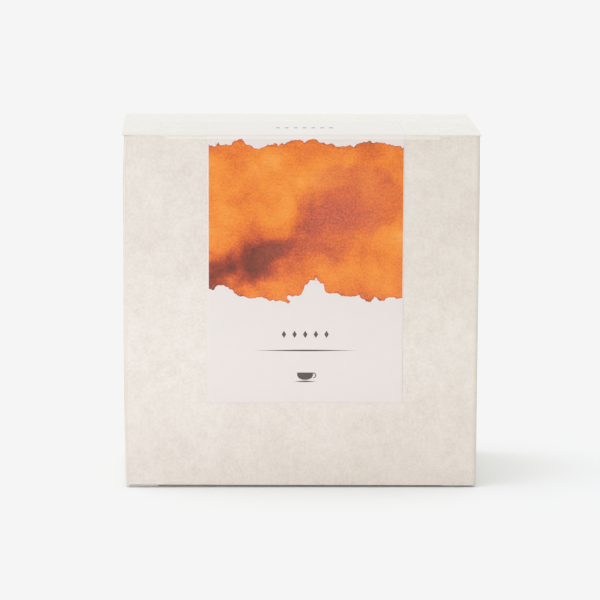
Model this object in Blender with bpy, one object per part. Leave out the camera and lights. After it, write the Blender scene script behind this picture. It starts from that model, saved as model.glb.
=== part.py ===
"""Folding carton for tea, shut, with the paper label that seals its lid.

A straight-tuck carton of thin paperboard. Its four walls form a sleeve with rounded
vertical folds. The lid is hinged on the back wall, bows up a little between its two folds
and tucks in behind the front wall. Dust flaps fold in from the side walls under the lid's
ends. The base closes like the lid, and the carton stands on it. One label is stuck down
the front wall and over the lid's front fold.

The carton is shut and full, so it is one solid. The front looks along -Y and +Z is up.
The origin is the centre of the footprint, on the surface that the carton stands on.
"""

from math import cos, pi, radians, sin, sqrt

import bmesh
import bpy

MM = 0.001

# Driving dimensions of the carton.
CARTON_WIDTH = 100.0 * MM
CARTON_DEPTH = 50.0 * MM
PANEL_HEIGHT = 99.8 * MM
BOARD = 0.45 * MM
WALL_FOLD_RADIUS = 0.8 * MM

# The sleeve stands this far off the surface, on the base closure.
FOOT = 0.5 * MM
BASE_INSET = 1.0 * MM
BASE_FRONT_RADIUS = 0.8 * MM

# The lid, its folds and the seam under its front fold.
LID_FOLD_RADIUS = 1.0 * MM
LID_CROWN = 0.65 * MM
LID_END_INSET = 0.1 * MM
FILLING_INSET = 0.3 * MM
SEAM_WIDTH = 0.15 * MM
SEAM_DEPTH = 0.25 * MM
SEAM_RISE = 0.05 * MM

# The dust flaps, seen through the slit under each end of the lid.
DUST_FLAP_CLEARANCE = 0.1 * MM
DUST_FLAP_NOTCH = 1.2 * MM
SLIT_DEPTH = 4.0 * MM

# The glued joint, a cut edge that lies on one side wall next to the back fold.
JOINT_FROM_BACK = 1.2 * MM
JOINT_WIDTH = 0.25 * MM

# The label, kept just clear of the board that it is stuck to.
LABEL_WIDTH = 55.1 * MM
LABEL_SHIFT = 1.15 * MM
LABEL_DROP = 75.8 * MM
LABEL_REACH = 24.5 * MM
LABEL_THICKNESS = 0.2 * MM
LABEL_GAP = 0.3 * MM

# The coloured field printed on the label, measured up from the label's lower edge.
PRINT_LOW = 33.0 * MM
PRINT_HIGH = 73.0 * MM

# Faces that would lie in one plane with the sleeve's stand this far inside it.
STEP = 0.02 * MM
# How far one shape runs into the next where they are joined.
OVERLAP = 2.0 * MM

ARC_STEPS = 8
CROWN_STEPS = 20
WALL_FOLD_STEPS = 5

# Levels and planes worked out from the dimensions above. The label stands proud of the
# front only, so the carton sits back by half of that to keep the footprint centred.
LABEL_PROUD = LABEL_GAP + LABEL_THICKNESS
CENTRE_Y = (LABEL_PROUD - STEP) / 2
FRONT = CENTRE_Y - CARTON_DEPTH / 2
BACK = CENTRE_Y + CARTON_DEPTH / 2
PANEL_TOP = FOOT + PANEL_HEIGHT
SEAM_TOP = PANEL_TOP + SEAM_WIDTH
LID_TOP = SEAM_TOP + LID_FOLD_RADIUS
DUST_FLAP_TOP = LID_TOP - BOARD - DUST_FLAP_CLEARANCE
SHOULDER_RADIUS = DUST_FLAP_TOP - PANEL_TOP

BOARD_COLOUR = (0.775, 0.715, 0.655, 1.0)
LABEL_COLOUR = (0.845, 0.785, 0.755, 1.0)
PRINT_COLOUR = (0.815, 0.235, 0.055, 1.0)


def clear_scene():
    for obj in list(bpy.data.objects):
        bpy.data.objects.remove(obj, do_unlink=True)


def new_collection(name):
    collection = bpy.data.collections.new(name)
    bpy.context.scene.collection.children.link(collection)
    return collection


def new_material(name, colour, roughness):
    material = bpy.data.materials.new(name)
    material.use_nodes = True
    shader = material.node_tree.nodes["Principled BSDF"]
    shader.inputs["Base Color"].default_value = colour
    shader.inputs["Roughness"].default_value = roughness
    shader.inputs["Metallic"].default_value = 0.0
    material.diffuse_color = colour
    return material


def as_helper(obj):
    """Marks a shape that only forms another one, so that it isn't part of the object."""
    obj.hide_render = True
    obj.display_type = "WIRE"
    return obj


def block(name, collection, low, high):
    """A box between two opposite corners, as an object at the origin."""
    mesh = bpy.data.meshes.new(name)
    bm = bmesh.new()
    bmesh.ops.create_cube(bm, size=1.0)
    for vert in bm.verts:
        for axis in range(3):
            vert.co[axis] = low[axis] if vert.co[axis] < 0 else high[axis]
    bm.to_mesh(mesh)
    bm.free()
    obj = bpy.data.objects.new(name, mesh)
    collection.objects.link(obj)
    return obj


def round_edges(obj, radius, steps, chosen):
    """Rounds the edges for which chosen(middle, direction) is true."""
    bm = bmesh.new()
    bm.from_mesh(obj.data)
    edges = []
    for edge in bm.edges:
        start, end = (vert.co for vert in edge.verts)
        if chosen((start + end) / 2, (end - start).normalized()):
            edges.append(edge)
    bmesh.ops.bevel(
        bm,
        geom=edges,
        offset=radius,
        offset_type="OFFSET",
        segments=steps,
        profile=0.5,
        affect="EDGES",
        clamp_overlap=True,
    )
    bm.to_mesh(obj.data)
    bm.free()


def combine(obj, other, operation):
    modifier = obj.modifiers.new(operation.lower() + "_" + other.name, "BOOLEAN")
    modifier.operation = operation
    modifier.solver = "EXACT"
    modifier.object = other


def prism(name, collection, outline, width, middle=0.0):
    """A (y, z) outline made a solid of this width along X, from a filled flat curve."""
    curve = bpy.data.curves.new(name, "CURVE")
    curve.dimensions = "2D"
    curve.fill_mode = "BOTH"
    curve.extrude = width / 2
    spline = curve.splines.new("POLY")
    spline.points.add(len(outline) - 1)
    for point, (y, z) in zip(spline.points, outline):
        point.co = (y, z, 0.0, 1.0)
    spline.use_cyclic_u = True
    flat = bpy.data.objects.new(name + "_outline", curve)
    collection.objects.link(flat)
    # The curve's own X, Y and Z become the carton's Y, Z and X.
    flat.rotation_euler = (pi / 2, 0.0, pi / 2)
    flat.location.x = middle
    bpy.context.view_layer.update()
    evaluated = flat.evaluated_get(bpy.context.evaluated_depsgraph_get())
    mesh = bpy.data.meshes.new_from_object(evaluated)
    mesh.name = name
    bm = bmesh.new()
    bm.from_mesh(mesh)
    bmesh.ops.remove_doubles(bm, verts=bm.verts, dist=0.001 * MM)
    bmesh.ops.recalc_face_normals(bm, faces=bm.faces)
    bm.to_mesh(mesh)
    bm.free()
    mesh.transform(flat.matrix_world)
    solid = bpy.data.objects.new(name, mesh)
    collection.objects.link(solid)
    bpy.data.objects.remove(flat, do_unlink=True)
    return solid


def arc(centre_y, centre_z, radius, start, end, steps=ARC_STEPS):
    """Points of an arc from one angle to another, in degrees, counted from +Y towards +Z."""
    points = []
    for step in range(steps + 1):
        angle = radians(start + (end - start) * step / steps)
        points.append((centre_y + radius * cos(angle), centre_z + radius * sin(angle)))
    return points


def crown_height(y):
    """How far the lid bows up at this depth: nothing at its folds, most in the middle."""
    along = (y - FRONT) / CARTON_DEPTH
    return LID_CROWN * 4 * along * (1 - along)


def lid_curve(offset, reach=CARTON_DEPTH):
    """The lid's face from the foot of its front fold over the crown, moved out by offset.

    It runs on over the back fold, unless reach ends it sooner, counted from the front.
    """
    front_centre = FRONT + STEP + LID_FOLD_RADIUS
    back_centre = BACK - STEP - LID_FOLD_RADIUS
    radius = LID_FOLD_RADIUS + offset
    points = arc(front_centre, SEAM_TOP, radius, 180, 90)
    last = min(back_centre, FRONT + reach)
    for step in range(1, CROWN_STEPS + 1):
        y = front_centre + (last - front_centre) * step / CROWN_STEPS
        points.append((y, LID_TOP + offset + crown_height(y)))
    if last == back_centre:
        points += arc(back_centre, SEAM_TOP, radius, 90, 0)[1:]
    return points


def lid_section(offset, low):
    """The closed outline under the lid's face, down to a level inside the sleeve."""
    curve = lid_curve(offset)
    neck = FRONT + SEAM_DEPTH - offset
    back = curve[-1][0]
    return [(back, low), (neck, low), (neck, SEAM_TOP + SEAM_RISE)] + curve


def sheet_section(low):
    """The closed outline of the lid's board, from its tuck flap to the back wall."""
    outer = lid_section(0.0, low)[1:]
    inner = lid_section(-BOARD, low)[1:]
    back_outer = (outer[-1][0], low)
    back_inner = (inner[-1][0], low)
    return outer + [back_outer, back_inner] + inner[::-1]


def make_sleeve(collection):
    """The four walls, with vertical folds, and the folds into the lower dust flaps."""
    half = CARTON_WIDTH / 2
    sleeve = block(
        "carton", collection, (-half, FRONT, FOOT), (half, BACK, PANEL_TOP)
    )

    def is_wall_fold(middle, direction):
        upright = abs(direction.z) > 0.9
        under_side = abs(direction.y) > 0.9 and middle.z < PANEL_TOP / 2
        return upright or under_side

    round_edges(sleeve, WALL_FOLD_RADIUS, WALL_FOLD_STEPS, is_wall_fold)
    return sleeve


def make_dust_flaps(helpers):
    """The upper folds of the side walls and the flaps that run in from them."""
    half = CARTON_WIDTH / 2 - STEP
    flaps = block(
        "dust_flaps",
        helpers,
        (-half, FRONT + DUST_FLAP_NOTCH, PANEL_TOP / 2),
        (half, BACK - DUST_FLAP_NOTCH, DUST_FLAP_TOP),
    )

    def is_shoulder(middle, direction):
        return abs(direction.y) > 0.9 and middle.z > DUST_FLAP_TOP - STEP

    round_edges(flaps, SHOULDER_RADIUS, WALL_FOLD_STEPS, is_shoulder)
    return as_helper(flaps)


def make_hinge_cuts(helpers, low):
    """The corners cut off the lid's hinge, so that it ends inside the wall folds."""
    cuts = []
    reach = 2 * WALL_FOLD_RADIUS
    shift = reach / sqrt(2) - WALL_FOLD_RADIUS / 2
    for side, name in ((-1, "left"), (1, "right")):
        cut = block(
            "hinge_cut_" + name,
            helpers,
            (-reach, -reach, low - OVERLAP),
            (reach, reach, LID_TOP + LID_CROWN + OVERLAP),
        )
        cut.rotation_euler.z = pi / 4
        cut.location.x = side * (CARTON_WIDTH / 2 + shift)
        cut.location.y = BACK + shift
        cuts.append(as_helper(cut))
    return cuts


def make_lid(helpers):
    """The lid's board, out to its cut ends, and what fills the carton under it."""
    low = PANEL_TOP - OVERLAP
    board = prism(
        "lid_board", helpers, sheet_section(low), CARTON_WIDTH - 2 * LID_END_INSET
    )
    for cut in make_hinge_cuts(helpers, low):
        combine(board, cut, "DIFFERENCE")
    filling = prism(
        "lid_filling",
        helpers,
        lid_section(-FILLING_INSET, low),
        CARTON_WIDTH - 2 * SLIT_DEPTH,
    )
    return [as_helper(board), as_helper(filling)]


def make_base(helpers):
    """The base closure: tucked behind the front wall, folded out of the back wall."""
    back_radius = FOOT + STEP
    front = FRONT + BOARD + STEP
    outline = arc(front + BASE_FRONT_RADIUS, BASE_FRONT_RADIUS, BASE_FRONT_RADIUS, 180, 270)
    outline += arc(BACK - STEP - back_radius, back_radius, back_radius, 270, 360)
    outline += [(BACK - STEP, FOOT + OVERLAP), (front, FOOT + OVERLAP)]
    return as_helper(
        prism("base_closure", helpers, outline, CARTON_WIDTH - 2 * BASE_INSET)
    )


def make_joint_cut(helpers):
    """The line where one side wall's cut edge stops, glued over the back wall's flap."""
    middle = BACK - JOINT_FROM_BACK
    return as_helper(
        block(
            "joint_cut",
            helpers,
            (CARTON_WIDTH / 2 - BOARD, middle - JOINT_WIDTH / 2, FOOT - OVERLAP),
            (CARTON_WIDTH / 2 + BOARD, middle + JOINT_WIDTH / 2, PANEL_TOP + STEP),
        )
    )


def make_carton(parts, helpers):
    carton = make_sleeve(parts)
    for piece in [make_dust_flaps(helpers), make_base(helpers)] + make_lid(helpers):
        combine(carton, piece, "UNION")
    combine(carton, make_joint_cut(helpers), "DIFFERENCE")
    carton.data.materials.append(new_material("paperboard", BOARD_COLOUR, 0.75))
    carton.data.shade_smooth()
    carton.data.set_sharp_from_angle(angle=radians(30))
    return carton


def make_label(parts):
    """A bent strip that follows the front wall, the lid's front fold and the crown."""
    low = PANEL_TOP - LABEL_DROP
    levels = [low, low + PRINT_LOW, low + PRINT_HIGH]
    inner = [(FRONT + STEP - LABEL_GAP, z) for z in levels]
    outer = [(FRONT + STEP - LABEL_PROUD, z) for z in levels]
    inner += lid_curve(LABEL_GAP, LABEL_REACH)
    outer += lid_curve(LABEL_PROUD, LABEL_REACH)
    label = prism("label", parts, outer + inner[::-1], LABEL_WIDTH, LABEL_SHIFT)
    label.data.materials.append(new_material("label_paper", LABEL_COLOUR, 0.55))
    label.data.materials.append(new_material("label_print", PRINT_COLOUR, 0.55))
    for face in label.data.polygons:
        on_front = face.normal.y < -0.9
        if on_front and levels[1] < face.center.z < levels[2]:
            face.material_index = 1
    return label


def main():
    clear_scene()
    parts = new_collection("tea_carton")
    helpers = new_collection("shaping")
    make_carton(parts, helpers)
    make_label(parts)


main()
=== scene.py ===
"""A shut tea carton of mottled paperboard, with the printed paper label that seals its lid.

The carton is one die-cut blank, folded up and glued at one corner. Here it is made the same
way: each panel is a grid of points that carries its place on the flat blank, the board has its
real thickness, and its cut edges are left raw. The label is a second, thinner sheet that
follows the front wall, the lid's fold and the lid, and its small printed marks are thin shapes
wrapped round it.
"""

from math import atan2, cos, pi, radians, sin, tan

import bmesh
import bpy
import numpy as np
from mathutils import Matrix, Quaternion, Vector


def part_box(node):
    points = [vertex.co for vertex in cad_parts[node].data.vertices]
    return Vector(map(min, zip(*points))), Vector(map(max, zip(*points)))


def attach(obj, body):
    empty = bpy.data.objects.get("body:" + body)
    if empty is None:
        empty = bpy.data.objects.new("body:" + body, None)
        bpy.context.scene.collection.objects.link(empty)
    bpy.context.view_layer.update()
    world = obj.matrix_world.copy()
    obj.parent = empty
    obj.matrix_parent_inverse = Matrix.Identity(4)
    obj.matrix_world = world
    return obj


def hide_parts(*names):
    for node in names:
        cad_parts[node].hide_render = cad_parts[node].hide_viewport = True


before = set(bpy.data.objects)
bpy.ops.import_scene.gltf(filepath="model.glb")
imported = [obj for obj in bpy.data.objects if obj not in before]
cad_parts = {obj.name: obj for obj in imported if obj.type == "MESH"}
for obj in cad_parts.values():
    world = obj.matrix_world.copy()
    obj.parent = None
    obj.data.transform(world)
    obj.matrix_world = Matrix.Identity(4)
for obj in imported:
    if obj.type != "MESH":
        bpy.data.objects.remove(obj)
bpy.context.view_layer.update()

MM = 0.001

# The carton's planes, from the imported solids.
carton_low, carton_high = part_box("carton")
label_low, label_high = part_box("label")
HALF = carton_high.x
FRONT = carton_low.y
BACK = carton_high.y

# The blank. The walls stand on the base panel, whose board lies under them. The front wall is
# cut a little lower between the slit locks, so that the lid's fold sits flush in it.
BOARD = 0.45 * MM
FOOT = 0.6 * MM
WALL_TOP = 100.3 * MM
WALL_FOLD = 0.8 * MM
UNDER_FOLD = 0.8 * MM
GLUE_FLAP = 12.0 * MM
JOINT_FROM_BACK = 1.1 * MM
CLEAR = 0.004 * MM
FRONT_RELIEF = 1.2 * MM
SIDE_RELIEF = 0.4 * MM
RELIEF_EASE = 2.0 * MM

# The lid: it slopes down to the front and bows up, and the slits beside its front fold lock
# it. A panel leaves its hinge between the walls' folds, and then flares to its own width.
LID_BACK_TOP = 101.45 * MM
LID_FRONT_TOP = 99.98 * MM
LID_CROWN = 0.65 * MM
LID_HALF = 50.15 * MM
LID_EDGE_BACK = 0.1 * MM
HINGE_FOLD = 1.0 * MM
FLARE = (0.2 * MM, 2.2 * MM)
LOCK_AT = 38.7 * MM
LOCK_RAMP = 2.0 * MM
NOTCH = 0.15 * MM
LID_END_RISE = 0.46 * MM
LID_RIGHT_SHARE = 0.65
RISE_FROM = -0.7 * LOCK_AT

# The lid's front fold, the nose, which leans out as it comes down, and the tuck behind the
# front wall. Where the nose has turned down, its board is squeezed thin inside, and outside it
# is painted paler, a painted highlight. NOSE_TURNED is how much its face still looks up where
# that is at its full share.
NOSE_FOLD = 1.6 * MM
NOSE_LEAN = 0.75 * MM
NOSE_UNDER_FOLD = 0.012 * MM
NOSE_LOW = WALL_TOP - FRONT_RELIEF + CLEAR
NOSE_TURNED = 0.65
LID_CREASE = 0.1
# How strong the painted highlight round the nose is.
NOSE_HIGHLIGHT = 0.7
SQUEEZE = 0.78
ROOM_USED = 0.8
TUCK_GAP = 0.07 * MM
TUCK_DEPTH = 12.0 * MM

# The dust flaps under the lid's ends, and the base panel under the lower ones.
FLAP_TOP = 100.9 * MM
FLAP_REACH = 22.0 * MM
BASE_HALF = 49.0 * MM
BASE_LOCK_AT = 40.6 * MM
BASE_SET_BACK = 1.3 * MM
BASE_EDGE_BACK = (1.7 * MM, 1.35 * MM)
BASE_TUCK = 9.0 * MM

# How the carton has settled: walls that lean in at the top, a front wall pressed out by what
# is inside and lifted a little at one foot, one end a little higher, and a lid corner that
# springs open. A reach is how far from its place a change still shows.
SIDEWAYS = -0.0037
LEAN_LEFT = 0.40 * MM
LEAN_RIGHT = 0.12 * MM
LEAN_FROM = 88.0 * MM
LEAN_TO = 99.5 * MM
BULGE = 0.22 * MM
WAVE = 0.035 * MM
RACK = 0.0021
CORNER_LIFT = 0.06 * MM
CORNER_REACH = (2.0 * MM, 5.0 * MM)
FOOT_LIFT = 0.25 * MM
FOOT_LIFT_REACH = 9.0 * MM
FOOT_IN = 0.45 * MM
FOOT_IN_REACH = 24.0 * MM

# The label's sheet. It is pressed thin at its cut edges, and sampled at close steps there.
LABEL_PAPER = 0.13 * MM
GLUE_LINE = 0.03 * MM
LABEL_EDGE = 0.45 * MM
LABEL_EDGE_STEPS = (0.03 * MM, 0.08 * MM, 0.16 * MM, 0.28 * MM, LABEL_EDGE)
LABEL_EDGE_SHARE = 0.22
LABEL_BEND = 0.4 * MM
INK = 0.012 * MM

# The wash on the label. Each shore is a curve through given points, from the left side to the
# right, between its lowest and highest place above the label's lower edge. The lower one has a
# long tongue left of the middle, a bay, and a low lobe on the right. Pigment is how much each
# layer of the wash adds to its depth.
WASH_HALF = 27.5 * MM
TRIM = (27.2 * MM, 27.35 * MM)
LOWER_SHORE = (28.0 * MM, 38.0 * MM), (
    (0.0, 0.52), (0.10, 0.46), (0.20, 0.20), (0.30, 0.12), (0.42, 0.24), (0.50, 0.62),
    (0.56, 0.70), (0.64, 0.40), (0.78, 0.22), (0.90, 0.18), (1.0, 0.30),
)
UPPER_SHORE = (70.5 * MM, 74.2 * MM), (
    (0.0, 0.75), (0.14, 0.92), (0.26, 0.5), (0.38, 0.9),
    (0.55, 0.95), (0.70, 0.6), (0.84, 0.95), (1.0, 0.55),
)
PIGMENT = {
    "cloud": 0.42,
    "dark": 0.42,
    "core": 0.44,
    "rosy": 0.20,
    "veil": 0.16,
    "halo": 0.06,
    "rim": 0.32,
}

# How finely board and paper are divided, and how near points are welded.
ARC_STEPS = 7
EDGE_STRIP = 0.4 * MM
SPACING = 4.0 * MM
FINE_SPACING = 2.0 * MM
SMOOTH_ANGLE = 40
WELD = 1e-7


def linear(code):
    """An sRGB hex colour as linear RGBA."""
    channels = [int(code[i : i + 2], 16) / 255 for i in (1, 3, 5)]
    return tuple(
        c / 12.92 if c <= 0.04045 else ((c + 0.055) / 1.055) ** 2.4 for c in channels
    ) + (1.0,)


def smooth_rise(low, high, value):
    share = np.clip((value - low) / (high - low), 0.0, 1.0)
    return share * share * (3.0 - 2.0 * share)


def stacked(x, y, z):
    return np.stack(np.broadcast_arrays(x, y, z), axis=-1).astype(float)


# Paths that board follows


def stations(length, ends, spacing, marks=()):
    """Distances along a straight run: its ends, a narrow strip at each, marks and even steps."""
    inner = [d for d in ends if 2.5 * d < length]
    fixed = [0.0] + inner + sorted(marks) + [length - d for d in reversed(inner)] + [length]
    found = []
    for low, high in zip(fixed, fixed[1:]):
        steps = max(1, round((high - low) / spacing))
        found += [low + (high - low) * i / steps for i in range(steps)]
    return found + [length]


def folded_path(corners, radii, ends=(EDGE_STRIP,), spacing=SPACING, thick=BOARD, marks=None):
    """An open path with rounded corners, sampled.

    It runs so that the outer side is on its right. Each sample has its place, its outward
    normal, the board's thickness there, how much of a fold it is, and its length so far.
    marks gives, for a run's number, extra distances along it at which it is sampled.
    """
    corners = [np.array(corner, float) for corner in corners]
    samples = []

    def put(place, direction, board, fold):
        if samples and np.linalg.norm(place - samples[-1][0]) < WELD:
            samples[-1][3] = max(samples[-1][3], fold)
            return
        samples.append([place, np.array((direction[1], -direction[0])), board, fold])

    start = corners[0]
    for i in range(1, len(corners)):
        into = corners[i] - corners[i - 1]
        into = into / np.linalg.norm(into)
        end, turn = corners[i], 0.0
        if i < len(corners) - 1:
            out = corners[i + 1] - corners[i]
            out = out / np.linalg.norm(out)
            turn = atan2(into[0] * out[1] - into[1] * out[0], float(into @ out))
            end = corners[i] - into * radii[i - 1] * tan(abs(turn) / 2)
        run = float((end - start) @ into)
        extra = (marks or {}).get(i - 1, ())
        for distance in stations(run, ends, spacing, extra) if run > WELD else [0.0]:
            at_fold = (i > 1 and distance == 0.0) or (turn and distance >= run - WELD)
            put(start + into * distance, into, thick, 1.0 if at_fold else 0.0)
        if not turn:
            break
        radius, side = radii[i - 1], 1.0 if turn > 0 else -1.0
        across = np.array((-into[1], into[0]))
        centre = end + side * radius * across
        board = min(thick, 0.9 * radius) if side > 0 else thick
        for step in range(1, ARC_STEPS + 1):
            angle = turn * step / ARC_STEPS
            way = into * cos(angle) + across * sin(angle)
            place = centre - side * radius * np.array((-way[1], way[0]))
            put(place, way, thick if step == ARC_STEPS else board, 1.0)
        start = samples[-1][0]
    place = np.array([s[0] for s in samples])
    length = np.concatenate([[0.0], np.cumsum(np.linalg.norm(np.diff(place, axis=0), axis=1))])
    return {
        "place": place,
        "normal": np.array([s[1] for s in samples]),
        "board": np.array([s[2] for s in samples]),
        "fold": np.array([s[3] for s in samples]),
        "length": length,
    }


class Sheet:
    """Board or paper as a skin with two sides, gathered grid by grid and then closed."""

    def __init__(self):
        self.outer, self.inner, self.flat = [], [], []
        self.fold, self.lid, self.quads = [], [], []
        self.known = {}

    def point(self, outer, inner, flat, fold, lid):
        key = tuple(int(round(c / WELD)) for c in outer)
        if key not in self.known:
            self.known[key] = len(self.outer)
            self.outer.append(outer)
            self.inner.append(inner)
            self.flat.append(flat)
            self.fold.append(fold)
            self.lid.append(lid)
        return self.known[key]

    def grid(self, outer, inner, flat, fold, lid=0.0, skip=()):
        """Adds a grid of quads. Points that lie on ones already there are joined to them."""
        rows, columns = outer.shape[:2]
        index = [
            [
                self.point(outer[r, c], inner[r, c], flat[r, c], fold[r, c], lid)
                for c in range(columns)
            ]
            for r in range(rows)
        ]
        for r in range(rows - 1):
            for c in range(columns - 1):
                if (r, c) in skip:
                    continue
                quad = [index[r][c], index[r][c + 1], index[r + 1][c + 1], index[r + 1][c]]
                a, b, _, d = (self.outer[i] for i in quad)
                outwards = self.outer[quad[0]] - self.inner[quad[0]]
                if np.dot(np.cross(b - a, d - a), outwards) < 0:
                    quad.reverse()
                self.quads.append(quad)

    def to_mesh(self, name, shape, materials):
        """The closed sheet: outer side, inner side and cut edges, each its own material."""
        outer, inner = np.array(self.outer), np.array(self.inner)
        lid = np.array(self.lid)
        count = len(outer)
        points = np.concatenate([shape(outer, lid), shape(inner, lid)])
        uses = {}
        for quad in self.quads:
            for a, b in zip(quad, quad[1:] + quad[:1]):
                uses.setdefault((min(a, b), max(a, b)), []).append((a, b))
        rim = [pairs[0] for pairs in uses.values() if len(pairs) == 1]
        faces = [tuple(quad) for quad in self.quads]
        faces += [tuple(i + count for i in reversed(quad)) for quad in self.quads]
        faces += [(b, a, a + count, b + count) for a, b in rim]
        # Points that only skipped quads would have used are left out.
        used = sorted({corner for face in faces for corner in face})
        place_of = {old: new for new, old in enumerate(used)}
        faces = [tuple(place_of[corner] for corner in face) for face in faces]
        points = points[used]
        mesh = bpy.data.meshes.new(name)
        mesh.from_pydata(points.tolist(), [], faces)
        for material in materials:
            mesh.materials.append(material)
        slots = [0] * len(self.quads) + [1] * len(self.quads) + [2] * len(rim)
        mesh.polygons.foreach_set("material_index", slots)
        flat = np.concatenate([self.flat, self.flat])[used]
        corners = np.empty(len(mesh.loops), np.int32)
        mesh.loops.foreach_get("vertex_index", corners)
        sheet_map = mesh.uv_layers.new(name="flat_sheet")
        sheet_map.data.foreach_set("uv", flat[corners].astype(np.float32).ravel())
        fold = mesh.attributes.new("fold", "FLOAT", "POINT")
        fold.data.foreach_set("value", np.tile(self.fold, 2)[used].astype(np.float32))
        mesh.shade_smooth()
        mesh.set_sharp_from_angle(angle=radians(SMOOTH_ANGLE))
        mesh.validate()
        return mesh


def add_object(name, data):
    obj = bpy.data.objects.new(name, data)
    bpy.context.scene.collection.objects.link(obj)
    return obj


def settled(points, lid):
    """Moves points of the square carton to where the folded one has settled."""
    x, y, z = points.T.copy()
    along = np.clip((y - FRONT) / (BACK - FRONT), 0.0, 1.0)
    upright = np.sin(pi * np.clip(z / WALL_TOP, 0.0, 1.0))
    across = 1.0 - (x / HALF) ** 2
    near_front = 1.0 - smooth_rise(0.0, 0.5, along)
    lean = smooth_rise(LEAN_FROM, LEAN_TO, z) * (1.0 - lid) * near_front
    # The front wall isn't quite flat: it has shallow waves, 50 to 150 mm long.
    wave = np.sin(x / (8.3 * MM) + 0.7) * np.sin(z / (12.1 * MM) + 1.9)
    wave += 0.6 * np.sin(x / (17.0 * MM) - z / (23.0 * MM))
    springing = np.exp(-(x + HALF) / CORNER_REACH[0]) * np.exp(-(y - FRONT) / CORNER_REACH[1])
    at_foot = (1.0 - smooth_rise(0.0, FOOT_IN_REACH, z)) * near_front
    new_x = x - np.where(x > 0, LEAN_RIGHT, LEAN_LEFT) * lean * x / HALF + SIDEWAYS * z
    new_x = new_x + FOOT_IN * at_foot * np.clip(-x / HALF, 0.0, 1.0) ** 2
    new_y = y - (BULGE * upright * across + WAVE * wave * upright) * (1.0 - along) ** 3
    bow = LID_CROWN * 4 * along * (1 - along)
    new_z = z + lid * (bow + front_rise(x, z, along) + CORNER_LIFT * springing)
    lifted = smooth_rise(0.0, FOOT, z) * (1.0 - smooth_rise(FOOT, FOOT_LIFT_REACH, z)) * near_front
    new_z = new_z + FOOT_LIFT * lifted * (HALF - x) / (2 * HALF)
    new_z = new_z * (1.0 + RACK * (x + HALF) / (2 * HALF))
    return np.stack([new_x, new_y, new_z], axis=1)


# The carton's blank, panel by panel


def outside_locks(x):
    return smooth_rise(LOCK_AT, LOCK_AT + LOCK_RAMP, abs(x))


def front_rise(x, z, along):
    """How far the lid's front lies above the left end of its fold between the slit locks.

    Its flat corners lie higher, and the fold itself rises to the right, but not the tuck.
    """
    to_right = LID_RIGHT_SHARE * smooth_rise(RISE_FROM, LOCK_AT, x)
    fold = to_right * smooth_rise(NOSE_LOW, LID_FRONT_TOP, z)
    outside = outside_locks(x)
    return LID_END_RISE * (outside + fold * (1.0 - outside)) * (1.0 - along) ** 3


def wall_relief(x, y):
    """How far the walls' top edge is cut below the back wall's."""
    from_middle = abs(x)
    in_locks = 1.0 - smooth_rise(LOCK_AT, LOCK_AT + NOTCH, from_middle)
    at_corner = smooth_rise(HALF - RELIEF_EASE, HALF - WALL_FOLD / 2, from_middle)
    under_lid = WALL_TOP - front_rise(x, LID_FRONT_TOP, 0.0) - LID_FRONT_TOP + BOARD + CLEAR
    front = under_lid + (FRONT_RELIEF - under_lid) * in_locks
    front += (SIDE_RELIEF - under_lid) * at_corner
    towards_front = 1.0 - smooth_rise(0.0, WALL_FOLD, y - FRONT)
    towards_back = smooth_rise(-WALL_FOLD, 0.0, y - BACK)
    side = SIDE_RELIEF * (1.0 - towards_back) * (from_middle > HALF - WALL_FOLD)
    return front * towards_front + side * (1.0 - towards_front)


def walls(sheet):
    """The glue flap and the four walls, round the carton from inside its right wall."""
    inside = HALF - BOARD - CLEAR
    corners = [
        (inside, BACK - GLUE_FLAP),
        (inside, BACK),
        (-HALF, BACK),
        (-HALF, FRONT),
        (HALF, FRONT),
        (HALF, BACK - JOINT_FROM_BACK),
    ]
    # The front wall is sampled where the slit locks start and end, and the back wall at the
    # places on the two hinges that the slits are in line with.
    hinge = inside + HALF - 2 * WALL_FOLD
    slits = ((LID_HALF, LOCK_AT), (LID_HALF, LOCK_AT + LOCK_RAMP), (BASE_HALF, BASE_LOCK_AT))
    marks = {
        1: [hinge * (half + sign * at) / (2 * half) for half, at in slits for sign in (-1, 1)],
        3: [
            HALF - WALL_FOLD + sign * (LOCK_AT + ramp)
            for sign in (-1, 1)
            for ramp in (0.0, NOTCH, LOCK_RAMP)
        ],
    }
    path = folded_path(corners, [WALL_FOLD] * 4, marks=marks)
    levels = [FOOT, FOOT + UNDER_FOLD]
    upper = stations(WALL_TOP - levels[-1], (EDGE_STRIP,), SPACING)
    levels += [levels[-1] + d for d in upper[1:]]
    x, y = path["place"].T
    z = np.array(levels)[:, None] - wall_relief(x, y) * smooth_rise(
        WALL_TOP - SPACING, WALL_TOP, np.array(levels)
    )[:, None]
    outer = stacked(x, y, z)
    inner = outer.copy()
    inner[..., :2] -= path["normal"] * path["board"][:, None]
    flat = np.stack(np.broadcast_arrays(path["length"], z), axis=-1)
    fold = np.broadcast_to(path["fold"], z.shape)
    left = np.flatnonzero((abs(x + HALF) < WELD) & (path["fold"] == 0.0))
    right = np.flatnonzero((abs(x - HALF) < WELD) & (path["fold"] == 0.0))[:-1]
    back = np.flatnonzero(abs(y - BACK) < WELD)
    under_flaps = {(0, c) for side in (left, right) for c in side[:-1]}
    sheet.grid(outer, inner, flat, fold, skip=under_flaps)
    return path, left, right, back


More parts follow.
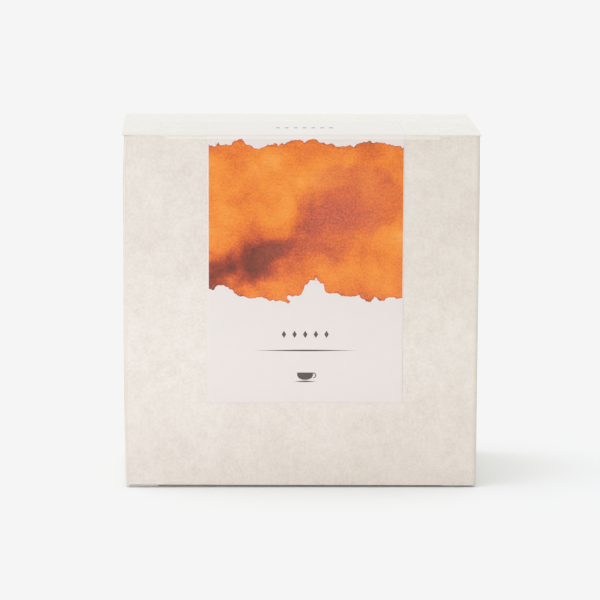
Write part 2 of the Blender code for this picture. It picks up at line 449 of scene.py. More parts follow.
def strip(sheet, across, along, ends, place, lid=0.0, chosen=slice(None)):
    """A panel folded off the walls: along is its path, across its columns on the wall.

    ends gives, for each sample of the path, where the panel's two side edges are.
    """
    first, last = across["at"][0], across["at"][-1]
    share = (across["at"] - first) / (last - first)
    side = (ends[:, :1] + (ends[:, 1:] - ends[:, :1]) * share)[:, chosen]
    offset = along["place"] - along["normal"] * along["board"][:, None]
    outer = place(along["place"][:, None, 0], along["place"][:, None, 1], side)
    inner = place(offset[:, None, 0], offset[:, None, 1], side)
    flat = np.empty(side.shape + (2,))
    flat[..., 0] = across["flat"][chosen]
    flat[..., 1] = along["flat"][:, None]
    fold = np.broadcast_to(along["fold"][:, None], side.shape)
    sheet.grid(outer, inner, flat, fold, lid)


def part_of(path, chosen):
    return {name: values[chosen] for name, values in path.items()}


def closing_panel(sheet, hinge, path, raw_edges, half, lock_at, place, lid=0.0):
    """A panel that closes one end of the carton, from its hinge to its tuck flap.

    Its front corners are slit along the fold. Between the slits the panel folds over into the
    tuck flap, and outside them it stops flat, at a raw edge.
    """
    start = (hinge["at"][0], hinge["at"][-1])
    ends = widths(path["length"], start, (half, -half))
    bend = next(
        i for i in range(2, len(path["fold"])) if path["fold"][i] and not path["fold"][i - 1]
    )
    strip(sheet, hinge, part_of(path, slice(0, bend + 1)), ends[: bend + 1], place, lid)
    share = (hinge["at"] - start[0]) / (start[1] - start[0])
    lock = np.flatnonzero(abs(half - 2 * half * share) < lock_at + 10 * WELD)
    tuck = part_of(path, slice(bend, None))
    strip(sheet, hinge, tuck, ends[bend:], place, lid, slice(lock[0], lock[-1] + 1))
    run = path["place"][bend] - path["place"][bend - 1]
    corners = (slice(0, lock[0] + 1), slice(lock[-1], None))
    for corner, raw_edge in zip(corners, raw_edges):
        reach = path["place"][bend] + run * (raw_edge - path["place"][bend, 0]) / run[0]
        flat_end = folded_path([path["place"][bend], reach], [])
        flat_end["flat"] = path["flat"][bend] + np.sign(
            path["flat"][1] - path["flat"][0]
        ) * flat_end["length"]
        flat_ends = np.repeat(ends[bend : bend + 1], len(flat_end["length"]), axis=0)
        strip(sheet, hinge, flat_end, flat_ends, place, lid, corner)


def columns(path, chosen, axis):
    return {"at": path["place"][chosen, axis], "flat": path["length"][chosen]}


def widths(along, start, wide):
    """The side edges of a panel that leaves its hinge at start and is soon wide."""
    share = smooth_rise(*FLARE, along)[:, None]
    return np.array(start) * (1 - share) + np.array(wide) * share


def lid_height(y):
    """The lid's top before it bows: it slopes down a little to its front fold."""
    return LID_FRONT_TOP + (LID_BACK_TOP - LID_FRONT_TOP) * (y - FRONT) / (BACK - FRONT)


def turned_down(path):
    """From 0 to 1, how far a path has turned down, where it goes round the lid's front fold."""
    y, z = path["place"].T
    at_fold = (y < FRONT + NOSE_LEAN + NOSE_FOLD) & (z >= NOSE_LOW - WELD)
    return at_fold * smooth_rise(1.0, NOSE_TURNED, path["normal"][:, 1])


def make_carton(materials):
    sheet = Sheet()
    path, left, right, back = walls(sheet)
    hinge = columns(path, back, 0)

    # The lid, from its hinge over the top and down behind the front wall.
    tuck = FRONT + BOARD + TUCK_GAP
    nose = FRONT + CLEAR
    over = folded_path(
        [
            (BACK, WALL_TOP),
            (BACK, LID_BACK_TOP),
            (nose + NOSE_LEAN, lid_height(nose)),
            (nose, NOSE_LOW),
            (tuck, NOSE_LOW),
            (tuck, WALL_TOP - TUCK_DEPTH),
        ],
        [HINGE_FOLD, NOSE_FOLD, NOSE_UNDER_FOLD, NOSE_UNDER_FOLD],
        spacing=FINE_SPACING,
    )
    over["flat"] = WALL_TOP + over["length"]
    # The board is squeezed thin inside the fold, where there is no room for all of it.
    y, z = over["place"].T
    room = (y - nose) * (LID_FRONT_TOP - NOSE_LOW) / NOSE_LEAN
    at_under_fold = abs(z - NOSE_LOW) < 3 * NOSE_UNDER_FOLD
    squeezed = BOARD * (1.0 - SQUEEZE * turned_down(over))
    in_room = np.where(at_under_fold & (y < tuck), ROOM_USED * room, BOARD)
    over["board"] = np.minimum(over["board"], np.minimum(squeezed, in_room))
    # The fold value is below zero where the nose has turned down, which paints a highlight there.
    over["fold"] = np.minimum(over["fold"], LID_CREASE) * (turned_down(over) == 0.0)
    over["fold"] -= NOSE_HIGHLIGHT * turned_down(over)
    raw_edges = [FRONT + LID_EDGE_BACK] * 2

    def place_over(y, z, x):
        return stacked(x, y, z)

    closing_panel(sheet, hinge, over, raw_edges, LID_HALF, LOCK_AT, place_over, lid=1.0)

    # The base panel has the same shape upside down, and its fold is set back under the wall.
    set_back = FRONT + BOARD + BASE_SET_BACK
    under = folded_path(
        [(BACK, -FOOT), (BACK, 0.0), (set_back, 0.0), (set_back, -BASE_TUCK)], [FOOT, UNDER_FOLD]
    )
    under["flat"] = FOOT - under["length"]
    raw_edges = [FRONT + back for back in BASE_EDGE_BACK]

    def place_under(y, z, x):
        return stacked(x, y, -z)

    closing_panel(sheet, hinge, under, raw_edges, BASE_HALF, BASE_LOCK_AT, place_under)

    # Dust flaps, over and under each side wall. The upper ones slope as the lid does.
    side_top = WALL_TOP - SIDE_RELIEF
    for sign, chosen in ((-1, left), (1, right)):
        wall = columns(path, chosen, 1)
        edge = np.array((wall["at"][0], wall["at"][-1]))

        def place_flap(out, z, y, sign=sign):
            raised = np.clip((z - side_top) / (FLAP_TOP - side_top), 0.0, 1.0)
            along = (y - FRONT) / (BACK - FRONT)
            lid_end = lid_height(y) + front_rise(HALF, LID_FRONT_TOP, along)
            return stacked(sign * out, y, z - raised * (LID_BACK_TOP - lid_end))

        upper = folded_path(
            [(HALF, side_top), (HALF, FLAP_TOP), (HALF - FLAP_REACH, FLAP_TOP)],
            [FLAP_TOP - side_top],
        )
        upper["flat"] = side_top + upper["length"]
        lower = folded_path(
            [(HALF - FLAP_REACH, FOOT), (HALF, FOOT), (HALF, FOOT + UNDER_FOLD)], [UNDER_FOLD]
        )
        lower["flat"] = FOOT + UNDER_FOLD - (lower["length"][-1] - lower["length"])
        for flap in (upper, lower):
            ends = np.tile(edge, (len(flap["length"]), 1))
            strip(sheet, wall, flap, ends, place_flap)
    return add_object("carton_board", sheet.to_mesh("carton_board", settled, materials))


# The label


def label_path(lift):
    """The label's way from its end on the lid, over the nose and down to its lower edge."""
    reach = label_high.y
    low = label_low.z
    path = folded_path(
        [
            (reach, lid_height(reach)),
            (FRONT + NOSE_LEAN, lid_height(FRONT)),
            (FRONT, NOSE_LOW),
            (FRONT, low),
        ],
        [NOSE_FOLD + CLEAR, LABEL_BEND],
        ends=LABEL_EDGE_STEPS,
        spacing=FINE_SPACING,
        thick=LABEL_PAPER,
    )
    # Round the nose the fold value goes below zero, where a painted highlight makes the label
    # paler.
    path["fold"] = -NOSE_HIGHLIGHT * turned_down(path)
    path["place"] = path["place"] + path["normal"] * lift
    path["up"] = path["length"][-1] - path["length"]
    return path


def edge_height(distance):
    """A die-cut label is pressed thin at its edge: its share of full thickness there."""
    inward = np.clip(distance / LABEL_EDGE, 0.0, 1.0)
    full = np.sqrt(1.0 - (1.0 - inward) ** 2)
    return LABEL_EDGE_SHARE + (1.0 - LABEL_EDGE_SHARE) * full


def make_label(materials):
    path = label_path(GLUE_LINE)
    width = label_high.x - label_low.x
    offsets = np.array(stations(width, LABEL_EDGE_STEPS, SPACING))
    from_side = np.minimum(offsets, width - offsets)
    up = path["up"]
    from_end = np.minimum(up, up[0] - up)
    full = LABEL_PAPER * np.minimum(
        edge_height(from_side)[None, :], edge_height(from_end)[:, None]
    )
    inner = stacked(
        (label_low.x + offsets)[None, :], path["place"][:, None, 0], path["place"][:, None, 1]
    )
    outer = inner.copy()
    outer[..., 1:] += path["normal"][:, None, :] * full[..., None]
    flat = np.stack(np.broadcast_arrays(offsets - width / 2, up[:, None]), axis=-1)
    fold = np.broadcast_to(path["fold"][:, None], full.shape)
    sheet = Sheet()
    sheet.grid(outer, inner, flat, fold, lid=1.0)
    return add_object("label_sheet", sheet.to_mesh("label_sheet", settled, materials))


def print_on_label(obj):
    """Wraps flat printed shapes round the label: x and y are places on it, z its height."""
    path = label_path(GLUE_LINE + LABEL_PAPER)
    middle = (label_low.x + label_high.x) / 2
    mesh = obj.data
    flat = np.empty(len(mesh.vertices) * 3)
    mesh.vertices.foreach_get("co", flat)
    flat = flat.reshape(-1, 3)
    along = path["length"][-1] - flat[:, 1]
    place = [np.interp(along, path["length"], path["place"][:, i]) for i in (0, 1)]
    normal = [np.interp(along, path["length"], path["normal"][:, i]) for i in (0, 1)]
    y, z = (place[i] + normal[i] * flat[:, 2] for i in (0, 1))
    points = stacked(flat[:, 0] + middle, y, z)
    mesh.vertices.foreach_set("co", settled(points, np.ones(len(points))).ravel())
    mesh.update()


# Printed shapes


def add(tree, kind, inputs=None, **settings):
    """Adds a node, with its settings, and links or sets its inputs by name or number."""
    node = tree.nodes.new(kind)
    for name, value in settings.items():
        setattr(node, name, value)
    for key, value in (inputs or {}).items():
        if isinstance(value, bpy.types.Node):
            value = next(socket for socket in value.outputs if socket.enabled)
        if isinstance(value, bpy.types.NodeSocket):
            tree.links.new(value, node.inputs[key])
        else:
            node.inputs[key].default_value = value
    return node


def row_tree():
    """Geometry nodes for a row of like printed shapes: flat prisms set side by side."""
    tree = bpy.data.node_groups.new("printed_row", "GeometryNodeTree")
    kinds = {"Count": "Int", "Ink": "Material"}
    for name in ("Count", "Pitch", "Width", "Height", "Up", "Middle", "Turn", "Ink"):
        kind = "NodeSocket" + kinds.get(name, "Float")
        tree.interface.new_socket(name, in_out="INPUT", socket_type=kind)
    tree.interface.new_socket("Shapes", in_out="OUTPUT", socket_type="NodeSocketGeometry")
    given = add(tree, "NodeGroupInput").outputs
    gaps = add(tree, "ShaderNodeMath", {0: given["Count"], 1: 1.0}, operation="SUBTRACT")
    span = add(tree, "ShaderNodeMath", {0: gaps, 1: given["Pitch"]}, operation="MULTIPLY")
    back = add(tree, "ShaderNodeMath", {0: span, 1: -0.5}, operation="MULTIPLY")
    left = add(tree, "ShaderNodeMath", {0: back, 1: given["Middle"]}, operation="ADD")
    start = add(tree, "ShaderNodeCombineXYZ", {0: left, 1: given["Up"], 2: INK / 2})
    step = add(tree, "ShaderNodeCombineXYZ", {0: given["Pitch"]})
    line = add(
        tree,
        "GeometryNodeMeshLine",
        {"Count": given["Count"], "Start Location": start, "Offset": step},
    )
    prism = add(tree, "GeometryNodeMeshCylinder", {"Vertices": 4, "Radius": 1.0, "Depth": INK})
    turn = add(tree, "ShaderNodeCombineXYZ", {2: given["Turn"]})
    turned = add(
        tree, "GeometryNodeTransform", {"Geometry": prism.outputs["Mesh"], "Rotation": turn}
    )
    size = add(tree, "ShaderNodeCombineXYZ", {0: given["Width"], 1: given["Height"], 2: 1.0})
    shapes = add(
        tree, "GeometryNodeInstanceOnPoints", {"Points": line, "Instance": turned, "Scale": size}
    )
    real = add(tree, "GeometryNodeRealizeInstances", {"Geometry": shapes})
    inked = add(tree, "GeometryNodeSetMaterial", {"Geometry": real, "Material": given["Ink"]})
    add(tree, "NodeGroupOutput", {"Shapes": inked})
    return tree


def printed_row(name, tree, **sizes):
    """A row of printed shapes, made by the tree and wrapped round the label."""
    obj = add_object(name, bpy.data.meshes.new(name))
    modifier = obj.modifiers.new("row", "NODES")
    modifier.node_group = tree
    for item in tree.interface.items_tree:
        if item.item_type == "SOCKET" and item.in_out == "INPUT":
            modifier[item.identifier] = sizes[item.name]
    graph = bpy.context.evaluated_depsgraph_get()
    made = bpy.data.meshes.new_from_object(obj.evaluated_get(graph))
    obj.modifiers.remove(modifier)
    made.name = name
    obj.data = made
    print_on_label(obj)
    return obj


def flat_shape(name, outlines, ink):
    """Closed flat outlines, in metres on the label, given the ink's thickness."""
    mesh = bpy.data.meshes.new(name)
    bm = bmesh.new()
    for outline in outlines:
        low = [bm.verts.new((x, y, 0.0)) for x, y in outline]
        face = bm.faces.new(low)
        face.normal_update()
        if face.normal.z > 0:
            face.normal_flip()
        raised = bmesh.ops.extrude_face_region(bm, geom=[face])["geom"]
        for item in raised:
            if isinstance(item, bmesh.types.BMVert):
                item.co.z += INK
    bmesh.ops.recalc_face_normals(bm, faces=bm.faces)
    bm.to_mesh(mesh)
    bm.free()
    mesh.materials.append(ink)
    obj = add_object(name, mesh)
    print_on_label(obj)
    return obj


def swelled_rule(middle, up, length, thick):
    """A fine rule, thickest in the middle and drawn out to points."""
    steps = 40
    upper, lower = [], []
    for step in range(1, steps):
        along = step / steps
        half = thick / 2 * sin(pi * along) ** 1.5
        x = middle + length * (along - 0.5)
        upper.append((x, up + half))
        lower.append((x, up - half))
    left, right = (middle - length / 2, up), (middle + length / 2, up)
    return [left] + upper + [right] + lower[::-1]


def cup_outlines(middle, up, size):
    """A plain cup on its saucer, seen from the side: a bowl, a handle and the saucer.

    Every measure in it is a share of its size.
    """

    def at(x, y):
        return (middle + x * size, up + y * size)

    bowl = [at(-0.42, 0.46), at(0.42, 0.46)]
    for step in range(17):
        angle = pi * step / 16
        bowl.append(at(0.42 * cos(angle), 0.43 - 0.36 * sin(angle) ** 0.7))
    handle = []
    for radius, angles in ((0.145, range(-100, 101, 20)), (0.095, range(90, -91, -20))):
        for angle in angles:
            out, along = cos(radians(angle)), sin(radians(angle))
            handle.append(at(0.44 + radius * out, 0.31 + radius * along))
    saucer = swelled_rule(middle, up - 0.01 * size, 1.25 * size, 0.075 * size)
    return [bowl, handle, saucer]


def make_print(ink):
    """The label's small printed shapes, all in one dark ink."""
    tree = row_tree()
    return [
        printed_row(
            "row_of_lozenges",
            tree,
            Count=5, Pitch=3.0 * MM, Width=0.62 * MM, Height=1.05 * MM,
            Up=19.6 * MM, Middle=0.0, Turn=0.0, Ink=ink,
        ),
        printed_row(
            "row_on_the_lid",
            tree,
            Count=7, Pitch=2.5 * MM, Width=0.75 * MM, Height=0.75 * MM,
            Up=87.4 * MM, Middle=0.0, Turn=pi / 4, Ink=ink,
        ),
        flat_shape("swelled_rule", [swelled_rule(0.0, 15.0 * MM, 30.0 * MM, 0.42 * MM)], ink),
        flat_shape("small_cup", cup_outlines(0.0, 6.2 * MM, 5.4 * MM), ink),
    ]


# Materials


def new_material(name):
    material = bpy.data.materials.new(name)
    material.use_nodes = True
    material.node_tree.nodes.clear()
    return material, material.node_tree


def apart(seed):
    """A place far from every other seed's, so that no two noise patterns match."""
    return (seed * 3.7, seed * 1.9, seed * 5.3)


def with_nose_highlight(tree, fold, colour, tone):
    """The colour, made paler where fold is below zero: a painted highlight round the lid's front
    fold.
    """
    pale = add(tree, "ShaderNodeMath", {0: fold, 1: -1.0}, operation="MULTIPLY", use_clamp=True)
    mixed = {"Factor": pale, "A": colour, "B": linear(tone)}
    return add(tree, "ShaderNodeMix", mixed, data_type="RGBA")


def mottled_paperboard():
    """Carton board formed wet from mixed fibres, with a thin smooth coat.

    Its face is cloudy and has a soft tooth, and it shines at a low angle.
    """
    material, tree = new_material("mottled_paperboard")
    where = add(tree, "ShaderNodeTexCoord").outputs["Object"]
    # Each row gives the width of a pattern's features in millimetres, its detail, roughness
    # and distortion.
    rows = (
        (9.0, 3.0, 0.6, 0.0),  # clouds of fibre
        (2.6, 3.0, 0.6, 0.0),  # clumps in the clouds
        (0.8, 3.0, 0.65, 0.0),  # grain
        (0.35, 4.0, 0.7, 0.6),  # single fibres
    )
    patterns = []
    for seed, (width, detail, roughness, distortion) in enumerate(rows, start=1):
        moved = add(tree, "ShaderNodeMapping", {"Vector": where, "Location": apart(seed)})
        pattern = add(
            tree,
            "ShaderNodeTexNoise",
            {
                "Vector": moved,
                "Scale": 1 / (width * MM),
                "Detail": detail,
                "Roughness": roughness,
                "Distortion": distortion,
            },
        )
        patterns.append(pattern)
    clouds, clumps, grain, fibres = patterns
    part = add(tree, "ShaderNodeMix", {"Factor": 0.55, "A": clouds, "B": clumps})
    whole = add(tree, "ShaderNodeMix", {"Factor": 0.45, "A": part, "B": grain})
    tone = add(tree, "ShaderNodeValToRGB", {"Fac": whole})
    stops = tone.color_ramp.elements
    stops[0].position, stops[0].color = 0.33, linear("#d0c5bb")
    stops[1].position, stops[1].color = 0.67, linear("#e6ded6")
    stops.new(0.5).color = linear("#ddd3c9")
    # Painted shade: the folds, where the board turns away from the light, are mixed towards grey.
    fold = add(tree, "ShaderNodeAttribute", attribute_name="fold").outputs["Fac"]
    fold_shade_grain = add(tree, "ShaderNodeMath", {0: fold, 1: grain}, operation="MULTIPLY")
    painted_fold_shade = add(tree, "ShaderNodeMath", {0: fold_shade_grain, 1: 0.9}, operation="MULTIPLY", use_clamp=True)
    shaded_tone = add(
        tree, "ShaderNodeMix", {"Factor": painted_fold_shade, "A": tone, "B": linear("#ccc2b5")}, data_type="RGBA"
    )
    # Round the lid's front fold the colour is painted paler: a painted highlight.
    colour = with_nose_highlight(tree, fold, shaded_tone, "#f0e7dd")
    height = add(tree, "ShaderNodeMix", {"Factor": 0.35, "A": fibres, "B": clumps})
    bump = add(
        tree, "ShaderNodeBump", {"Strength": 0.35, "Distance": 0.06 * MM, "Height": height}
    )
    rough = add(tree, "ShaderNodeMapRange", {"Value": grain, "To Min": 0.18, "To Max": 0.28})
    shader = add(
        tree,
        "ShaderNodeBsdfPrincipled",
        {"Base Color": colour, "Roughness": rough, "IOR": 1.5, "Normal": bump},
    )
    add(tree, "ShaderNodeOutputMaterial", {"Surface": shader})
    return material


def bare_fibres(name, seed, width, detail, tones, roughness, relief=0.0):
    """A matt surface of bare fibre, clouded between two tones, in tufts of the given width.

    relief is how far the tufts stand up.
    """
    material, tree = new_material(name)
    where = add(tree, "ShaderNodeTexCoord").outputs["Object"]
    moved = add(tree, "ShaderNodeMapping", {"Vector": where, "Location": apart(seed)})
    tufts = add(
        tree,
        "ShaderNodeTexNoise",
        {"Vector": moved, "Scale": 1 / width, "Detail": detail, "Roughness": 0.6},
    )
    low, high = linear(tones[0]), linear(tones[1])
    tone = add(tree, "ShaderNodeMix", {"Factor": tufts, "A": low, "B": high}, data_type="RGBA")
    face = {"Base Color": tone, "Roughness": roughness, "IOR": 1.5}
    if relief:
        stand = {"Strength": 0.5, "Distance": relief, "Height": tufts}
        face["Normal"] = add(tree, "ShaderNodeBump", stand)
    shader = add(tree, "ShaderNodeBsdfPrincipled", face)
    add(tree, "ShaderNodeOutputMaterial", {"Surface": shader})
    return material


def plain_board_back():
    """The board's uncoated inner side: matt, greyer than its face, with grain 1.2 mm wide."""
    tones = ("#c9c3ba", "#dfdad2")
    return bare_fibres("board_inner_side", 6, 1.2 * MM, 4.0, tones, 0.85)


def cut_board():
    """A die-cut edge: bare plies, lighter than the face, fuzzy with tufts 0.25 mm wide."""
    tones = ("#d2c8bb", "#f1ebe2")
    return bare_fibres("die_cut_board_edge", 7, 0.25 * MM, 3.0, tones, 0.9, 0.05 * MM)


def wash_patterns(tree, flat):
    """The label's noise patterns, by name.

    Each row gives the width of the pattern's features in millimetres, its detail, roughness
    and distortion, the range of the noise that is used, what that is spread over, and how.
    """
    rows = {
        # The wash's edges wander, in wide bays, in small ones, and round the paper's tooth.
        "sway": (9.0, 1.0, 0.5, 0.0, (0.3, 0.7), (-2.0 * MM, 2.0 * MM), "LINEAR"),
        "shake": (3.4, 2.0, 0.45, 0.0, (0.25, 0.75), (-1.3 * MM, 1.3 * MM), "LINEAR"),
        "tooth": (0.9, 2.0, 0.5, 0.0, (0.25, 0.75), (-0.22 * MM, 0.22 * MM), "LINEAR"),
        # The pools' outlines drift, and the pigment lies in clouds.
        "drift": (13.0, 3.0, 0.5, 0.3, (0.2, 0.8), (-0.5, 0.5), "SMOOTHSTEP"),
        "cloud": (11.0, 4.0, 0.5, 0.25, (0.3, 0.7), (0.0, 1.0), "LINEAR"),
        # Pigment settles in the paper's tooth, in grains of about 0.5 mm and in faint streaks.
        "grains": (0.55, 3.0, 0.7, 0.0, (0.32, 0.68), (-0.36, 0.36), "LINEAR"),
        "streaks": (0.8, 2.0, 0.6, 0.0, (0.3, 0.7), (-0.07, 0.07), "LINEAR"),
        # The sheet has the faintest cloud, and a fine surface.
        "pulp": (3.0, 3.0, 0.6, 0.0, (0.0, 1.0), (0.0, 1.0), "LINEAR"),
        "surface": (0.4, 3.0, 0.6, 0.0, (0.0, 1.0), (0.0, 1.0), "LINEAR"),
    }
    # The streaks are four times as long as they are wide.
    drawn_out = add(tree, "ShaderNodeMapping", {"Vector": flat, "Scale": (0.25, 1.0, 1.0)})
    patterns = {}
    for seed, (name, row) in enumerate(rows.items(), start=11):
        width, detail, roughness, distortion, used, spread, kind = row
        where = drawn_out if name == "streaks" else flat
        moved = add(tree, "ShaderNodeMapping", {"Vector": where, "Location": apart(seed)})
        pattern = add(
            tree,
            "ShaderNodeTexNoise",
            {
                "Vector": moved,
                "Scale": 1 / (width * MM),
                "Detail": detail,
                "Roughness": roughness,
                "Distortion": distortion,
            },
        )
        patterns[name] = add(
            tree,
            "ShaderNodeMapRange",
            {
                "Value": pattern,
                "From Min": used[0],
                "From Max": used[1],
                "To Min": spread[0],
                "To Max": spread[1],
            },
            interpolation_type=kind,
        )
    return patterns


def wash_outline(tree, side, up, patterns):
    """How far inside its shores the wash is at a place, and whether the paper is printed."""
    swayed = add(tree, "ShaderNodeMath", {0: side, 1: patterns["sway"]}, operation="ADD")
    along = add(
        tree,
        "ShaderNodeMapRange",
        {"Value": swayed, "From Min": -WASH_HALF, "From Max": WASH_HALF},
    )
    shores = []
    for (lowest, highest), points in (LOWER_SHORE, UPPER_SHORE):
        drawn = add(tree, "ShaderNodeFloatCurve", {"Value": along})
        curve = drawn.mapping.curves[0]
        curve.points[0].location, curve.points[-1].location = points[0], points[-1]
        for point in points[1:-1]:
            curve.points.new(*point)
        drawn.mapping.update()
        level = add(
            tree, "ShaderNodeMapRange", {"Value": drawn, "To Min": lowest, "To Max": highest}
        )
        shores.append(level)
    above = add(tree, "ShaderNodeMath", {0: up, 1: shores[0]}, operation="SUBTRACT")
    below = add(tree, "ShaderNodeMath", {0: shores[1], 1: up}, operation="SUBTRACT")
    shore = add(tree, "ShaderNodeMath", {0: above, 1: below}, operation="MINIMUM")
    for name in ("shake", "tooth"):
        shore = add(tree, "ShaderNodeMath", {0: shore, 1: patterns[name]}, operation="ADD")
    # The print stops just short of the sheet's sides, where it was trimmed a little off. Its
    # edge is 0.14 mm soft.
    left = add(tree, "ShaderNodeMath", {0: side, 1: TRIM[0]}, operation="ADD")
    right = add(tree, "ShaderNodeMath", {0: TRIM[1], 1: side}, operation="SUBTRACT")
    trim = add(tree, "ShaderNodeMath", {0: left, 1: right}, operation="MINIMUM")
    inside = add(tree, "ShaderNodeMath", {0: shore, 1: trim}, operation="MINIMUM")
    wet = add(
        tree,
        "ShaderNodeMapRange",
        {"Value": inside, "From Max": 0.14 * MM},
        interpolation_type="SMOOTHSTEP",
    )
    return shore, wet


def wash_layers(tree, flat, shore, patterns):
    """Where the pigment gathered, by name, each from 0 to 1."""
    layers = {"cloud": patterns["cloud"]}
    # Oval pools: the middle and half size of each, on the label, and how far it is turned.
    for name, middle, size, turn in (
        ("dark", (-18.0 * MM, 42.0 * MM, 0), (22.0 * MM, 12.0 * MM, 1), 0.45),
        ("core", (-21.0 * MM, 39.0 * MM, 0), (15.0 * MM, 8.0 * MM, 1), 0.3),
        ("rosy", (12.0 * MM, 60.0 * MM, 0), (19.0 * MM, 11.0 * MM, 1), 0.5),
        ("veil", (4.0 * MM, 46.0 * MM, 0), (20.0 * MM, 9.0 * MM, 1), 0.35),
    ):
        moved = add(
            tree,
            "ShaderNodeMapping",
            {"Vector": flat, "Location": middle, "Rotation": (0, 0, turn), "Scale": size},
            vector_type="TEXTURE",
        )
        reach = add(tree, "ShaderNodeVectorMath", {0: moved}, operation="LENGTH")
        drifted = add(
            tree,
            "ShaderNodeMath",
            {0: reach.outputs["Value"], 1: patterns["drift"]},
            operation="ADD",
        )
        layers[name] = add(
            tree,
            "ShaderNodeMapRange",
            {"Value": drifted, "From Min": 0.1, "From Max": 1.2, "To Min": 1.0, "To Max": 0.0},
            interpolation_type="SMOOTHSTEP",
        )
    # Pigment gathers where the wet edge dried, in a line about half a millimetre wide, with a
    # faint band inside it.
    for name, start, end in (("halo", 0.5 * MM, 4.0 * MM), ("rim", 0.1 * MM, 0.6 * MM)):
        layers[name] = add(
            tree,
            "ShaderNodeMapRange",
            {"Value": shore, "From Min": start, "From Max": end, "To Min": 1.0, "To Max": 0.0},
            interpolation_type="SMOOTHSTEP",
        )
    return layers


def wash_colour(tree, layers, patterns):
    """The wash's colour: deeper where more pigment lies, rosy in part, and grained."""
    depth = 0.0
    for name, amount in PIGMENT.items():
        depth = add(
            tree,
            "ShaderNodeMath",
            {0: layers[name], 1: amount, 2: depth},
            operation="MULTIPLY_ADD",
        )
    pigment = add(tree, "ShaderNodeValToRGB", {"Fac": depth})
    stops = pigment.color_ramp.elements
    stops[0].position, stops[0].color = 0.0, linear("#f5953a")
    stops[1].position, stops[1].color = 1.0, linear("#6a260e")
    for place, tone in (
        (0.18, "#ee8320"), (0.38, "#dd6a17"), (0.58, "#bf4f1c"), (0.78, "#983416")
    ):
        stops.new(place).color = linear(tone)
    # A rosy pigment ran through the middle of it, and floated out of the darkest pool.
    rosy = add(
        tree,
        "ShaderNodeMath",
        {0: layers["veil"], 1: 0.6, 2: layers["rosy"]},
        operation="MULTIPLY_ADD",
    )
    blush = add(tree, "ShaderNodeMath", {0: rosy, 1: 0.54}, operation="MULTIPLY")
    tinted = add(
        tree,
        "ShaderNodeMix",
        {"Factor": blush, "A": pigment, "B": linear("#c65a3c")},
        data_type="RGBA",
        clamp_factor=True,
    )
    # The more pigment there is, the more its grains show.
    shown = add(
        tree,
        "ShaderNodeMapRange",
        {"Value": depth, "From Min": 0.1, "From Max": 0.7, "To Min": 0.35, "To Max": 1.0},
    )
    grit = add(
        tree,
        "ShaderNodeMath",
        {0: patterns["grains"], 1: shown, 2: patterns["streaks"]},
        operation="MULTIPLY_ADD",
    )
    shade = add(tree, "ShaderNodeMath", {0: grit, 1: 1.0}, operation="ADD")
    return add(
        tree,
        "ShaderNodeMix",
        {"Factor": 1.0, "A": tinted, "B": shade},
        data_type="RGBA",
        blend_type="MULTIPLY",
    )


def washed_label():
    """Smooth coated label paper, printed with a wash of watercolour nearly to its edges.

    The paper has a low sheen. The wash is cloudy, with dark pools and a darker dried edge.
    """
    material, tree = new_material("printed_label_paper")
    flat = add(tree, "ShaderNodeUVMap", uv_map="flat_sheet").outputs["UV"]
    split = add(tree, "ShaderNodeSeparateXYZ", {0: flat})
    patterns = wash_patterns(tree, flat)
    shore, wet = wash_outline(tree, split.outputs["X"], split.outputs["Y"], patterns)
    layers = wash_layers(tree, flat, shore, patterns)
    wash = wash_colour(tree, layers, patterns)
    paper = add(
        tree,
        "ShaderNodeMix",
        {"Factor": patterns["pulp"], "A": linear("#dcd2cd"), "B": linear("#e0d6d2")},
        data_type="RGBA",
    )
    printed = add(tree, "ShaderNodeMix", {"Factor": wet, "A": paper, "B": wash}, data_type="RGBA")
    # Like the board, the sheet is painted paler round the lid's fold: a painted highlight.
    fold = add(tree, "ShaderNodeAttribute", attribute_name="fold").outputs["Fac"]
    face = with_nose_highlight(tree, fold, printed, "#f3e6de")
    bump = add(
        tree,
        "ShaderNodeBump",
        {"Strength": 0.2, "Distance": 0.03 * MM, "Height": patterns["surface"]},
    )
    shader = add(
        tree,
        "ShaderNodeBsdfPrincipled",
        {"Base Color": face, "Roughness": 0.28, "IOR": 1.5, "Normal": bump},
    )
    add(tree, "ShaderNodeOutputMaterial", {"Surface": shader})
    return material


def label_edge():
    """The label's cut edges and glued side: bare white paper, matt and a little brighter."""
    material, tree = new_material("label_paper_edge")
    shader = add(
        tree,
        "ShaderNodeBsdfPrincipled",
        {"Base Color": linear("#f0eae6"), "Roughness": 0.8, "IOR": 1.5},
    )
    add(tree, "ShaderNodeOutputMaterial", {"Surface": shader})
    return material


def dark_ink():
    """Offset ink on the label's paper: matt, with breaks 0.3 mm wide from the paper's tooth."""
    tones = ("#3a322f", "#6a5f5a")
    return bare_fibres("offset_ink", 21, 0.3 * MM, 3.0, tones, 0.6)


# The set: floor, light and camera

FLOOR_TONE = "#f7f7f7"


def make_floor():
    """A wide sheet of pale paper, which runs out of sight behind the carton."""
    material, tree = new_material("paper_sweep")
    shader = add(tree, "ShaderNodeBsdfDiffuse", {"Color": linear(FLOOR_TONE)})
    add(tree, "ShaderNodeOutputMaterial", {"Surface": shader})
    mesh = bpy.data.meshes.new("floor")
    reach = 8.0  # metres, each way
    corners = [(-reach, -reach, 0), (reach, -reach, 0), (reach, reach, 0), (-reach, reach, 0)]
    mesh.from_pydata(corners, [], [(0, 1, 2, 3)])
    mesh.materials.append(material)
    floor = add_object("floor", mesh)


def area_light(name, place, target, size, power, colour):
    light = bpy.data.lights.new(name, "AREA")
    light.shape = "RECTANGLE"
    light.size, light.size_y = size
    light.energy = power
    light.color = colour
    obj = add_object(name, light)
    obj.location = place
    aim = Vector(target) - Vector(place)
    obj.rotation_euler = aim.to_track_quat("-Z", "Y").to_euler()
    obj.visible_camera = False


def soft_sun(name, direction, width, strength, colour):
    """Light that comes evenly from a far patch, width degrees across."""
    light = bpy.data.lights.new(name, "SUN")
    light.energy = strength
    light.angle = radians(width)
    light.color = colour
    obj = add_object(name, light)
    obj.rotation_euler = Vector(direction).to_track_quat("Z", "Y").to_euler()


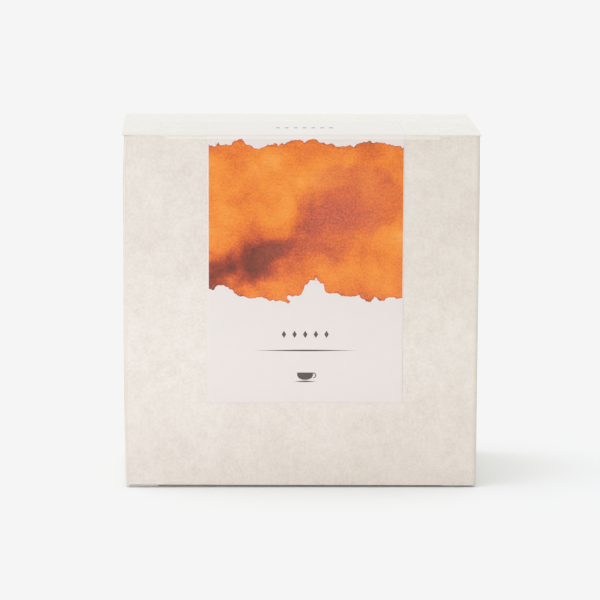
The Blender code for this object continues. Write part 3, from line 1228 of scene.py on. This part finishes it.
def make_light():
    """A white room that is darker in front, where the camera stands, with soft lights."""
    world = bpy.data.worlds.new("white_room")
    bpy.context.scene.world = world
    world.use_nodes = True
    tree = world.node_tree
    towards = add(tree, "ShaderNodeTexCoord").outputs["Generated"]
    split = add(tree, "ShaderNodeSeparateXYZ", {0: towards})
    behind = add(
        tree,
        "ShaderNodeMapRange",
        {
            "Value": split.outputs["Y"],
            "From Min": -0.6,
            "From Max": 0.1,
            "To Min": 0.5,
            "To Max": 1.065,
        },
        interpolation_type="SMOOTHSTEP",
    )
    right = add(
        tree,
        "ShaderNodeMapRange",
        {"Value": split.outputs["X"], "From Max": 0.9, "To Min": 1.0, "To Max": 1.18},
        interpolation_type="SMOOTHSTEP",
    )
    strength = add(tree, "ShaderNodeMath", {0: behind, 1: right}, operation="MULTIPLY")
    background = tree.nodes["Background"]
    background.inputs["Color"].default_value = (0.98, 1.01, 1.0, 1.0)
    tree.links.new(strength.outputs["Value"], background.inputs["Strength"])
    # A soft patch of ceiling, a reflector low down on the camera's left, and two small cards.
    soft_sun("ceiling", (-0.44, -0.06, 1.0), 42, 0.79, (0.95, 1.0, 1.02))
    soft_sun("reflector", (-0.5, -1.0, 0.06), 30, 0.38, (1.09, 1.0, 0.94))
    low, left = (-0.02, -0.16, 0.012), (-0.16, -0.20, 0.05)
    area_light("low_card", low, (-0.02, 0.0, 0.012), (0.22, 0.02), 0.026, (0.99, 1.0, 1.02))
    area_light("left", left, (0.0, 0.0, 0.05), (0.08, 0.08), 0.078, (0.95, 0.97, 1.13))


def expose():
    """The pale sweep is exposed up to the white of the page, with a soft shoulder below it."""
    view = bpy.context.scene.view_settings
    view.view_transform = "Standard"
    view.use_curve_mapping = True
    mapping = view.curve_mapping
    mapping.extend = "HORIZONTAL"
    curve = mapping.curves[3]
    curve.points[0].location = (0.0, 0.0)
    curve.points[-1].location = (1.0, 0.913)
    for place in ((0.5, 0.5), (0.8, 0.79), (0.9, 0.865)):
        curve.points.new(*place)
    mapping.update()


def make_camera():
    """The photograph's view, worked out from the carton's edges in it."""
    azimuth, elevation, roll = radians(-2.097), radians(9.283), radians(0.456)
    target = Vector((0.36 * MM, (FRONT + BACK) / 2, 49.80 * MM))
    back = Vector((sin(azimuth) * cos(elevation), -cos(azimuth) * cos(elevation), sin(elevation)))
    data = bpy.data.cameras.new("camera")
    data.sensor_width = 36.0
    data.lens = 175.55
    data.clip_end = 50.0
    camera = add_object("camera", data)
    camera.location = target + back * 847.4 * MM
    aim = back.to_track_quat("Z", "Y") @ Quaternion((0, 0, 1), roll)
    camera.rotation_euler = aim.to_euler()
    bpy.context.scene.camera = camera


def main():
    board = [mottled_paperboard(), plain_board_back(), cut_board()]
    carton = make_carton(board)
    edge = label_edge()
    label = make_label([washed_label(), edge, edge])
    marks = make_print(dark_ink())
    for piece in [carton, label] + marks:
        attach(piece, "root")
    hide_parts("carton")
    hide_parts("label")
    make_floor()
    make_light()
    make_camera()
    expose()


main()
